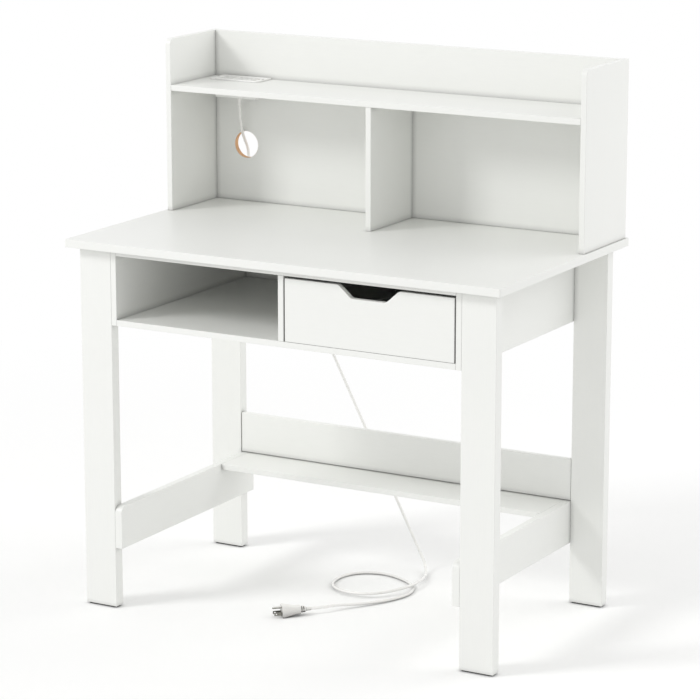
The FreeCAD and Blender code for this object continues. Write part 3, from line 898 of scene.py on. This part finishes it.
def hang(piece: Piece, body: str, material: Material, node: str) -> None:
    """Dress a finished piece and hand it over.

    Args:
        piece: The piece, with its place in its mesh.
        body: The body that it moves with.
        material: Its material.
        node: The node that it stands for.
    """
    piece.data.materials.clear()
    piece.data.materials.append(material)
    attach(piece, body)
    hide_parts(node)
    log.info("made %s", piece.name)


# ------------------------------------------------------------------ the power lead
CONTACT_NICKEL: Colour = (0.24, 0.235, 0.21)
CONTACT_TARNISH: Colour = (0.13, 0.125, 0.11)


@dataclass
class Cord:
    """The power cord, from the gland under the outlet through the cable hole to the floor.

    Attributes:
        diameter: Its thickness in metres.
        length: Its real length in metres, along its tube.
        round_steps: How finely its girth is divided.
        along_steps: How finely each stretch between control points is divided.
        route: Its control points in millimetres.
    """

    diameter: float = 6.0 * MM
    length: float = 1.987
    round_steps: int = 5
    along_steps: int = 12
    route: Tuple[Point, ...] = (
        (-388, 232, 953.5), (-387, 233, 926), (-390, 243, 900), (-395, 262, 879),
        (-398, 281, 858), (-400, 287, 828), (-385.9, 287, 800.8), (-8.1, 287, 73.1),
        (6, 287, 46), (23, 283, 21), (38, 266, 8), (57, 230, 5.5), (71, 184, 10.5),
        (74, 134, 11.5), (52, 82, 10), (14, 47, 8.5), (-38, 46, 7), (-83, 79, 4.5),
        (-99, 130, 3.2), (-83, 182, 3.2), (-32, 208, 3.2), (27, 190, 3.2), (71, 156, 3.2),
        (87, 104, 3.2), (66, 42, 3.8), (29, -12, 6.5), (2, -49, 11), (-10, -78, 12.5),
        (-28, -96, 12.5))

    def point(self, index: int) -> Vector:
        """A control point in metres."""
        return Vector(self.route[index]) * MM

    def build(self, material: Material) -> Piece:
        """Lay the cord along its route.

        Args:
            material: Its material.

        Returns:
            The cord, as a curve.
        """
        line = bpy.data.curves.new("cord_line", "CURVE")
        line.dimensions = "3D"
        line.bevel_depth = self.diameter / 2
        line.bevel_resolution = self.round_steps
        line.resolution_u = self.along_steps
        line.use_fill_caps = True
        spline = line.splines.new("NURBS")
        spline.points.add(len(self.route) - 1)
        for index, control in enumerate(spline.points):
            control.co = (*self.point(index), 1.0)
        spline.order_u = 3
        spline.use_endpoint_u = True
        cord = bpy.data.objects.new("power_cord", line)
        bpy.context.scene.collection.objects.link(cord)
        hang(cord, "desk", material, "cord")
        return cord

    def declare(self, cord: Piece, pieces: Sequence[Piece]) -> None:
        """Take the cord and the pieces on it, and do nothing with them."""


@dataclass
class Plug:
    """The three-pin plug: a tapered body with a slotted strain relief, two blades, a pin.

    It is modelled along +X from the end of the cord, with the blades at the far end.

    Attributes:
        turn: Degrees from +X to the way in which the plug points on the floor.
        face: Distance from the end of the cord to the face that holds the blades.
        straight: Length of the body behind that face that keeps its width.
        taper: Length over which it narrows to its neck.
        neck: Length of the neck.
        slots: Distances from the end of the cord at which the relief's slots begin.
        blade: Length, thickness and height of a blade.
        blade_drop: How far the blades lie below the middle of the body.
        pin_rise: How far the pin lies above the blades.
    """

    turn: float = 225.0
    face: float = 61.0 * MM
    width: float = 25.0 * MM
    height: float = 24.6 * MM
    straight: float = 5.0 * MM
    taper: float = 23.0 * MM
    neck: float = 11.0 * MM
    neck_width: float = 17.4 * MM
    neck_height: float = 15.6 * MM
    corner: float = 2.8 * MM
    rim_ease: float = 0.8 * MM
    shoulder_ease: float = 2.5 * MM
    face_margin: float = 1.3 * MM
    face_slope: float = 0.3 * MM
    face_sink: float = 0.35 * MM
    sleeve_radius: float = 3.5 * MM
    sleeve_ease: float = 0.4 * MM
    core_radius: float = 3.9 * MM
    relief_start: float = 12.3 * MM
    relief_radius: float = 6.3 * MM
    relief_root: float = 7.4 * MM
    relief_ease: float = 0.3 * MM
    relief_overlap: float = 2.0 * MM
    slots: Tuple[float, float] = (15.0 * MM, 19.6 * MM)
    slot_width: float = 2.5 * MM
    bridge: float = 2.4 * MM
    blade: Point = (16.0 * MM, 1.5 * MM, 6.35 * MM)
    blade_pitch: float = 12.7 * MM
    blade_drop: float = 4.2 * MM
    blade_ease: float = 1.1 * MM
    blade_hole: float = 1.6 * MM
    blade_hole_from_tip: float = 4.2 * MM
    blade_hole_sides: int = 28
    pin_length: float = 19.5 * MM
    pin_radius: float = 2.4 * MM
    pin_rise: float = 11.9 * MM
    pin_sides: int = 32
    dome_steps: int = 5
    dome_end: float = 0.12

    @property
    def root(self) -> float:
        """Distance from the end of the cord at which the body begins."""
        return self.face - self.straight - self.taper - self.neck

    def placed(self, start: Vector) -> Matrix:
        """From the plug's own axes to its place at the end of the cord."""
        return Matrix.Translation(start) @ Matrix.Rotation(math.radians(self.turn), 4, "Z")

    def make_body(self) -> Piece:
        """Mould the body, tapered to a neck towards the cord and eased all along.

        Returns:
            The body.
        """
        body = add_block("plug_body_soft", (self.straight, self.width, self.height),
                         (self.face - self.straight / 2, 0.0, 0.0))
        pick_faces(body, lambda normal: normal.x < -FLAT)
        draw_out(-self.taper, self.neck_width / self.width, self.neck_height / self.height)
        draw_out(-self.neck)
        pick_edges(body, lambda a, b: abs(a.x - b.x) > TOUCH)
        ease(self.corner, 5)
        pick_edges(body, ring_at(self.face, self.root))
        ease(self.rim_ease, 3)
        pick_edges(body, ring_at(self.root + self.neck))
        ease(self.shoulder_ease, 4)
        pick_faces(body, lambda normal: normal.x > FLAT)
        bpy.ops.mesh.inset(thickness=self.face_margin, depth=0.0)
        bpy.ops.mesh.inset(thickness=self.face_slope, depth=-self.face_sink)
        bpy.ops.object.mode_set(mode="OBJECT")
        return body

    def relief_profile(self) -> List[Tuple[float, float]]:
        """Outline the strain relief: a sleeve, and a flexible end that widens to the body.

        Returns:
            (distance, radius) pairs, with a groove at each slot.
        """
        eased = self.relief_ease
        widening = (self.relief_root - self.relief_radius) / (self.root - self.relief_start)
        profile = [(0.0, self.sleeve_radius - self.sleeve_ease),
                   (self.sleeve_ease, self.sleeve_radius),
                   (self.relief_start - self.sleeve_ease, self.core_radius),
                   (self.relief_start, self.relief_radius)]
        for start in self.slots:
            outer = self.relief_radius + widening * (start - self.relief_start)
            end = start + self.slot_width
            profile += [(start - eased, outer), (start, outer - eased), (start, self.core_radius),
                        (end, self.core_radius), (end, outer - eased), (end + eased, outer)]
        return profile + [(self.root, self.relief_root),
                          (self.root + self.relief_overlap, self.relief_root)]

    def make_relief(self) -> Piece:
        """Mould the strain relief, with its slots bridged at four sides.

        Returns:
            The strain relief.
        """
        flexible = turned_rod("plug_relief", self.relief_profile())
        first, last = self.slots[0], self.slots[-1] + self.slot_width
        span = last - first + 2 * self.relief_ease
        across = 2 * self.relief_radius
        bridges = [add_block("plug_relief_bridge", (span, *size), ((first + last) / 2, 0.0, 0.0))
                   for size in ((self.bridge, across), (across, self.bridge))]
        return join([flexible] + bridges, "plug_relief")

    def make_blade(self, side: int) -> Piece:
        """Cut one flat blade, with a rounded tip and a hole near it.

        Args:
            side: -1 or 1, the side of the plug that it is on.

        Returns:
            The blade.
        """
        long, thick = self.blade[:2]
        tip = self.face + long
        across = side * self.blade_pitch / 2
        blade = add_block("plug_blade", self.blade, (self.face + long / 2, across,
                                                     -self.blade_drop))
        pick_edges(blade, lambda a, b: min(a.x, b.x) > tip - TOUCH
                   and abs(a.y - b.y) > thick / 2)
        ease(self.blade_ease, 3)
        deselect()
        bpy.ops.mesh.primitive_cylinder_add(
            vertices=self.blade_hole_sides, radius=self.blade_hole, depth=4 * thick,
            rotation=(math.pi / 2, 0.0, 0.0),
            location=(tip - self.blade_hole_from_tip, across, -self.blade_drop))
        cut(blade, bpy.context.active_object)
        return blade

    def make_blades(self) -> Piece:
        """The two flat blades as one piece."""
        return join([self.make_blade(side) for side in (-1, 1)], "plug_blade_pair")

    def make_pin(self) -> Piece:
        """Turn the round earth pin, with its domed tip.

        Returns:
            The pin.
        """
        radius = self.pin_radius
        profile = [(0.0, radius), (self.pin_length - radius, radius)]
        for step in range(1, self.dome_steps):
            angle = math.radians(90.0 * step / self.dome_steps)
            profile.append((self.pin_length - radius * (1.0 - math.sin(angle)),
                            radius * math.cos(angle)))
        profile.append((self.pin_length, self.dome_end * radius))
        pin = turned_rod("plug_earth_pin", profile, self.pin_sides)
        pin.data.transform(Matrix.Translation((self.face, 0.0, self.pin_rise - self.blade_drop)))
        return pin

    def build(self, start: Vector, plastic: Material, metal: Material, top_lit: Material
              ) -> List[Piece]:
        """Model the plug's three pieces and lay them on the floor.

        Args:
            start: The end of the cord.
            plastic: The material of the body.
            metal: The material of the blades.
            top_lit: The material of the pin.

        Returns:
            The body, the blades and the pin.
        """
        body = join([self.make_body(), self.make_relief()], "plug_moulding")
        blades = self.make_blades()
        pin = self.make_pin()
        # the pin's material carries a painted highlight along its top
        for piece, slot, material, node in ((body, "plug_plastic", plastic, "plug_body"),
                                            (blades, "plug_metal", metal, "plug_blades"),
                                            (pin, "plug_metal", top_lit, "plug_pin")):
            piece.data.transform(self.placed(start))
            smooth(piece)
            hang(piece, "desk", material, node)
        return [body, blades, pin]


@dataclass
class PowerLead:
    """The cord, the plug at its end and the gland that it leaves the outlet unit by."""

    cord: Cord = field(default_factory=Cord)
    plug: Plug = field(default_factory=Plug)
    # the cord carries painted shade along its underside near the floor
    cord_vinyl: Moulding = Moulding(
        "cord_vinyl", (0.97, 0.962, 0.94), 0.27, stipple_per_metre=700.0,
        stipple_depth=0.003 * MM, flow_shade=0.01, painted_shade=0.6, painted_shade_reach=9.0 * MM)
    # the plug carries strong painted shade on its lower side and in its slots
    plug_vinyl: Moulding = Moulding(
        "plug_vinyl", (0.9, 0.888, 0.858), 0.3, stipple_per_metre=900.0, painted_shade=1.0,
        painted_shade_reach=20.0 * MM)
    nickel: BareMetal = BareMetal("plug_nickel", CONTACT_NICKEL, CONTACT_TARNISH, 0.24)
    # the pin's material, with a painted highlight along its top
    top_lit: TopLitMetal = TopLitMetal("pin_nickel", CONTACT_NICKEL, CONTACT_TARNISH, 0.24)

    def build(self) -> None:
        vinyl = self.cord_vinyl.material()
        cord = self.cord.build(vinyl)
        plug = self.plug.build(self.cord.point(-1), self.plug_vinyl.material(),
                               self.nickel.material(), self.top_lit.material())
        dress(vinyl, "cord_gland")
        self.cord.declare(cord, plug + [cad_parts["cord_gland"]])


# ------------------------------------------------------------------ screws
class Facing(Enum):
    """The way in which a screw's head faces."""

    UP = Matrix.Rotation(-math.pi / 2, 4, "Y")
    DOWN = Matrix.Rotation(math.pi / 2, 4, "Y")
    RIGHT = Matrix.Identity(4)
    LEFT = Matrix.Rotation(math.pi, 4, "Z")


@dataclass
class Screws:
    """Rows of countersunk screws with a cross recess.

    Attributes:
        first_turn: How far the first screw of a row is turned, in radians.
        next_turn: How much further each next one is turned.
    """

    head_radius: float = 3.2 * MM
    head_height: float = 1.6 * MM
    head_edge: float = 0.15 * MM
    shank_radius: float = 1.6 * MM
    point_radius: float = 0.2 * MM
    point_length: float = 1.5 * MM
    recess_width: float = 0.9 * MM
    recess_reach: float = 3.8 * MM
    recess_depth: float = 1.1 * MM
    sides: int = 28
    sharp_angle: float = 30.0
    first_turn: float = 0.4
    next_turn: float = 0.7

    def make_one(self, length: float) -> Piece:
        """Model one screw along X, with its head's face at the origin, facing +X.

        Args:
            length: Its whole length.

        Returns:
            The screw.
        """
        profile = [(-length, self.point_radius),
                   (-length + self.point_length, self.shank_radius),
                   (-self.head_height, self.shank_radius), (-self.head_edge, self.head_radius),
                   (0.0, self.head_radius - self.head_edge)]
        screw = turned_rod("screw", profile, self.sides)
        reach, width = self.recess_reach, self.recess_width
        for size in ((reach, width), (width, reach)):
            cut(screw, add_block("recess", (2 * self.recess_depth, *size), (0.0, 0.0, 0.0)))
        return screw

    def build(self, node: str, body: str, length: float, facings: Iterable[Facing],
              heads: Iterable[Point], material: Material) -> None:
        """Model one screw and set a copy at each head's place.

        Args:
            node: The node that the row stands for.
            body: The body that it moves with.
            length: The length of each screw.
            facings: The way in which each head faces.
            heads: The middle of each head's face.
            material: The material of the screws.
        """
        screw = self.make_one(length)
        row = []
        for index, (facing, head) in enumerate(zip(facings, heads)):
            spin = Matrix.Rotation(self.next_turn * index + self.first_turn, 4, "X")
            row.append(copied(screw, Matrix.Translation(head) @ facing.value @ spin))
        bpy.data.objects.remove(screw)
        piece = join(row, f"{node}_crossed")
        smooth(piece, self.sharp_angle)
        hang(piece, body, material, node)


# ------------------------------------------------------------------ the desk
@dataclass
class Boards:
    """The painted boards of the desk, its case, its lower frame and its hutch."""

    across: Tuple[str, ...] = ("desktop", "case_bottom", "case_top", "case_back", "footrest",
                               "stretcher", "hutch_shelf", "drawer_front")
    deep: Tuple[str, ...] = ("case_side_left", "case_side_right", "case_divider", "rail_left",
                             "rail_right")
    upright: Tuple[str, ...] = ("leg_front_left", "leg_front_right", "leg_back_left",
                                "leg_back_right", "hutch_side_left", "hutch_side_right",
                                "hutch_divider")
    holed: str = "hutch_back"

    def build(self) -> None:
        """Lacquer each board along its run, and the hutch's back with its raw hole."""
        for run, nodes in ((Run.ACROSS, self.across), (Run.DEEP, self.deep),
                           (Run.UPRIGHT, self.upright)):
            dress(Lacquer(f"lacquer_{run.name.lower()}", run).material(), *nodes)
        dress(HoledLacquer("lacquer_holed", Run.ACROSS).material(), self.holed)


@dataclass
class Drawer:
    """The drawer's inner boards, its runners and rollers, and the runners' screws."""

    foil_deep: Foil = Foil("drawer_foil", Run.DEEP)
    foil_across: Foil = Foil("drawer_foil_across", Run.ACROSS)
    powder: PowderCoat = PowderCoat("runner_powder_coat")
    nylon: Moulding = Moulding("roller_nylon", (0.82, 0.82, 0.79), 0.38,
                               stipple_per_metre=900.0, stipple_depth=0.03 * MM)
    zinc: BareMetal = BareMetal("screw_zinc", (0.62, 0.63, 0.65), (0.45, 0.44, 0.4), 0.32)
    screw_rows: Tuple[float, ...] = (-140.0 * MM, -31.6667 * MM, 76.6667 * MM)
    case_screw: float = 9.0 * MM
    case_heads_x: Tuple[float, float] = (7.2 * MM, 373.8 * MM)
    case_heads_z: float = 617.775 * MM
    drawer_screw: float = 8.0 * MM
    drawer_heads_x: Tuple[float, float] = (23.5 * MM, 357.5 * MM)
    drawer_heads_z: float = 602.8 * MM

    def heads(self, sides: Tuple[float, float], level: float) -> List[Point]:
        """The places of a pair of runners' screw heads, at two sides and one level."""
        return [(x, y, level) for x in sides for y in self.screw_rows]

    def build(self) -> None:
        """Dress the boards, the runners and the rollers, and set the screws."""
        dress(self.foil_deep.material(), "drawer_side_left", "drawer_side_right",
              "drawer_bottom")
        dress(self.foil_across.material(), "drawer_back")
        dress(self.powder.material(), "runner_case_left", "runner_case_right",
              "runner_drawer_left", "runner_drawer_right")
        dress(self.nylon.material(), "roller_case_left", "roller_case_right",
              "roller_drawer_left", "roller_drawer_right")
        zinc = self.zinc.material()
        each = len(self.screw_rows)
        Screws().build("runner_screws", "desk", self.case_screw,
                       [Facing.RIGHT] * each + [Facing.LEFT] * each,
                       self.heads(self.case_heads_x, self.case_heads_z), zinc)
        Screws().build("drawer_screws", "drawer", self.drawer_screw, [Facing.DOWN] * 2 * each,
                       self.heads(self.drawer_heads_x, self.drawer_heads_z), zinc)


@dataclass
class OutletUnit:
    """The outlet unit in the hutch's shelf, with its sockets, charging ports and screws."""

    face: Moulding = Moulding("outlet_face", (0.96, 0.96, 0.94), 0.3, painted_shade=0.0)
    insert: Moulding = Moulding("socket_insert", (0.95, 0.95, 0.93), 0.22,
                                stipple_per_metre=900.0)
    port_shell: BareMetal = BareMetal("port_shell", (0.74, 0.74, 0.75), (0.6, 0.6, 0.62), 0.25)
    tongue: ContactTongue = ContactTongue("port_tongue")
    nickel: BareMetal = BareMetal("screw_nickel", (0.27, 0.265, 0.25), (0.16, 0.155, 0.14), 0.3)
    screw_shift: float = 53.5 * MM
    screw_length: float = 9.0 * MM

    def build(self) -> None:
        """Dress the unit and set its two screws."""
        dress(self.face.material(), "outlet_housing", "outlet_bezel")
        dress(self.insert.material(), "outlet_sockets")
        dress(self.port_shell.material(), "outlet_usb_ports")
        dress(self.tongue.material(), "outlet_usb_tongues")
        low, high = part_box("outlet_bezel")
        middle = (low + high) / 2
        heads = [(middle.x + side * self.screw_shift, middle.y, high.z) for side in (-1, 1)]
        Screws().build("outlet_screws", "desk", self.screw_length, [Facing.UP] * 2, heads,
                       self.nickel.material())


@dataclass
class Fixings:
    """The dowels of the joints and the glides under the legs."""

    beech: Beech = Beech("dowel_beech")
    glide: Moulding = Moulding("glide_plastic", (0.07, 0.07, 0.072), 0.55)

    def build(self) -> None:
        """Dress the dowels and the glides."""
        dress(self.beech.material(), "frame_dowels", "hutch_dowels", "drawer_dowels")
        dress(self.glide.material(), "leg_glides")


# ------------------------------------------------------------------ the studio
@dataclass(frozen=True)
class Floor(Finish):
    """The pale floor, which whitens away from the desk but keeps the desk's shadow.

    Attributes:
        colour: Its colour as it lights the desk.
        seen_colour: Its colour as it is seen.
        lift: A little light of its own.
        white_centre: The middle of the shadowed ground, in X and Y.
        white_from: How far from there it begins to whiten.
        white_by: How far from there it is white.
    """

    size: float = 80.0
    colour: Colour = (0.93, 0.93, 0.925)
    seen_colour: Colour = (1.0, 1.0, 0.995)
    patches: Clouds = Clouds(3.0, 3.0)
    patch_shade: float = 0.01
    contact_reach: float = 10.0 * MM
    contact_shade: float = 0.3
    lift: float = 0.025
    white_centre: Tuple[float, float] = (-0.2, -0.35)
    white_from: float = 0.95
    white_by: float = 2.6

    def material(self) -> Material:
        """Make the material.

        Returns:
            The finished material.
        """
        shader = Shader(self.name)
        seen = shader.seen()
        colour = shader.mix(seen, self.colour, self.seen_colour)
        colour = shader.mix(shader.noise(self.patches) * self.patch_shade, colour, BLACK)
        colour = shader.paint_corner_shade(colour, self.contact_reach, self.contact_shade)[0]
        centre_x, centre_y = self.white_centre
        away = (shader.x - centre_x).hypotenuse(shader.y - centre_y)
        matt = shader.surface("ShaderNodeBsdfDiffuse", Color=colour)
        glow = shader.surface("ShaderNodeEmission", Strength=self.lift)
        white = shader.surface("ShaderNodeEmission", Strength=1.0)
        lifted = shader.node("ShaderNodeAddShader", {}, {0: matt, 1: glow}).outputs[0]
        faded = shader.blended(away.step(self.white_from, self.white_by), lifted, white)
        return shader.close(shader.blended(seen, matt, faded))

    def build(self) -> None:
        """Lay the floor."""
        deselect()
        bpy.ops.mesh.primitive_plane_add(size=self.size)
        floor = bpy.context.active_object
        floor.name = self.name
        floor.data.materials.append(self.material())


@dataclass(frozen=True)
class Sky:
    """Even light from all around, which the camera sees as white."""

    lighting: float = 0.735
    backdrop: float = 1.0

    def build(self) -> None:
        """Surround the desk."""
        world = bpy.data.worlds.new("studio_sky")
        bpy.context.scene.world = world
        nodes = Nodes(world)
        lighting, backdrop = (
            nodes.surface("ShaderNodeBackground", Color=(*WHITE, 1.0), Strength=strength)
            for strength in (self.lighting, self.backdrop))
        blend = nodes.blended(nodes.seen(), lighting, backdrop)
        nodes.node("ShaderNodeOutputWorld", {}, {"Surface": blend})


@dataclass(frozen=True)
class Lamp:
    """A square soft box that faces the desk.

    Attributes:
        name: Its name.
        azimuth: Where it stands, in degrees from the desk's front towards its right.
        elevation: How high it stands, in degrees.
        distance: How far it is from what it faces, in metres.
        size: The side of its square, in metres.
        power: Its power in watts.
        aim: The place that it faces.
    """

    name: str
    azimuth: float
    elevation: float
    distance: float
    size: float
    power: float
    aim: Point = (0.0, 0.0, 0.5)

    def build(self) -> None:
        """Hang the lamp."""
        light = bpy.data.lights.new(self.name, "AREA")
        light.shape = "SQUARE"
        light.size = self.size
        light.energy = self.power
        lamp = bpy.data.objects.new(self.name, light)
        bpy.context.scene.collection.objects.link(lamp)
        turn, rise = math.radians(self.azimuth), math.radians(self.elevation)
        away = Vector((math.sin(turn) * math.cos(rise), -math.cos(turn) * math.cos(rise),
                       math.sin(rise)))
        lamp.location = Vector(self.aim) + away * self.distance
        lamp.rotation_euler = away.to_track_quat("Z", "Y").to_euler()


@dataclass(frozen=True)
class Camera:
    """The camera, to the right in front of the desk and above it.

    Attributes:
        place: Where it stands, in metres.
        yaw: How far it is turned left from looking straight to the back, in degrees.
        pitch: How far it looks down, in degrees.
        lens: Its focal length in millimetres.
        film_width: The width of its film in millimetres.
        farthest: How far it sees, in metres.
    """

    place: Point = (2.88708, -5.07324, 1.88921)
    yaw: float = 29.5858
    pitch: float = 13.1517
    lens: float = 155.843
    film_width: float = 36.0
    farthest: float = 200.0

    def build(self) -> None:
        """Stand the camera."""
        lens = bpy.data.cameras.new("camera")
        lens.lens = self.lens
        lens.sensor_width = self.film_width
        lens.clip_end = self.farthest
        camera = bpy.data.objects.new("camera", lens)
        bpy.context.scene.collection.objects.link(camera)
        camera.location = self.place
        camera.rotation_euler = (math.radians(90.0 - self.pitch), 0.0, math.radians(self.yaw))
        bpy.context.scene.camera = camera


@dataclass(frozen=True)
class Studio:
    """The floor, the surroundings, the lamps and the camera."""

    floor: Floor = Floor("studio_floor")
    sky: Sky = Sky()
    lamps: Tuple[Lamp, ...] = (
        Lamp("key", azimuth=-42.0, elevation=33.0, distance=9.0, size=2.2, power=247.0),
        Lamp("back_high", azimuth=120.0, elevation=35.0, distance=4.5, size=2.0, power=21.5),
        Lamp("back_low", azimuth=145.0, elevation=20.0, distance=4.5, size=2.0, power=20.5))
    camera: Camera = Camera()

    def build(self) -> None:
        """Set the studio up."""
        for part in (self.floor, self.sky, *self.lamps, self.camera):
            part.build()
        bpy.context.scene.view_settings.view_transform = "Standard"
        log.info("the studio stands")


def main() -> None:
    """Build the studio and each part of the desk in order."""
    logging.basicConfig(level=logging.INFO, format="%(message)s")
    for part in (Studio(), PowerLead(), Boards(), OutletUnit(), Drawer(), Fixings()):
        part.build()


if __name__ == "__main__":
    main()
